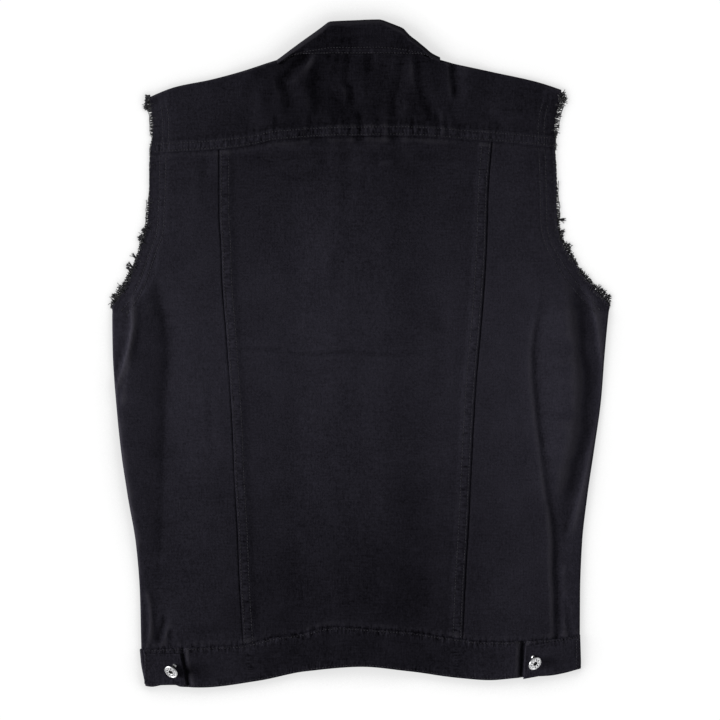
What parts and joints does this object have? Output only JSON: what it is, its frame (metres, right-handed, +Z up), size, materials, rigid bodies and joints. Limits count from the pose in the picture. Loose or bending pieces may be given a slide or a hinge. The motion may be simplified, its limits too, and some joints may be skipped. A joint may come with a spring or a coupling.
{
  "type": "denim vest",
  "caption": "Sleeveless denim vest laid face down, with a turned-down collar, back yoke, panelled back, waistband with side tabs and metal buttons, and raw frayed armholes.",
  "frame": {"origin": "on the surface that the vest lies on, under the middle of its outline", "axes": "+X to the right as seen from behind, +Y from the hem to the collar, +Z up, out of the back"},
  "size_m": [0.5214, 0.7, 0.0203],
  "materials": {
    "denim": "matte black twill",
    "frayed_denim": "matte loose threads",
    "button_metal": "satin silver"
  },
  "bodies": {
    "root": {"back_yoke": "denim", "back_centre_panel": "denim", "back_waistband": "denim", "collar": "denim", "side_panel_left": "denim", "side_panel_right": "denim", "adjuster_tab_left": "denim", "adjuster_tab_right": "denim", "front_left": "denim", "front_right": "denim", "front_waistband_left": "denim", "front_waistband_right": "denim", "buttonhole_band": "denim", "button_band": "denim", "armhole_fray_left": "frayed_denim", "armhole_fray_right": "frayed_denim", "tab_button_left": "button_metal", "tab_button_right": "button_metal", "front_button_1": "button_metal", "front_button_2": "button_metal", "front_button_3": "button_metal", "front_button_4": "button_metal", "front_button_5": "button_metal"}
  },
  "joints": []
}
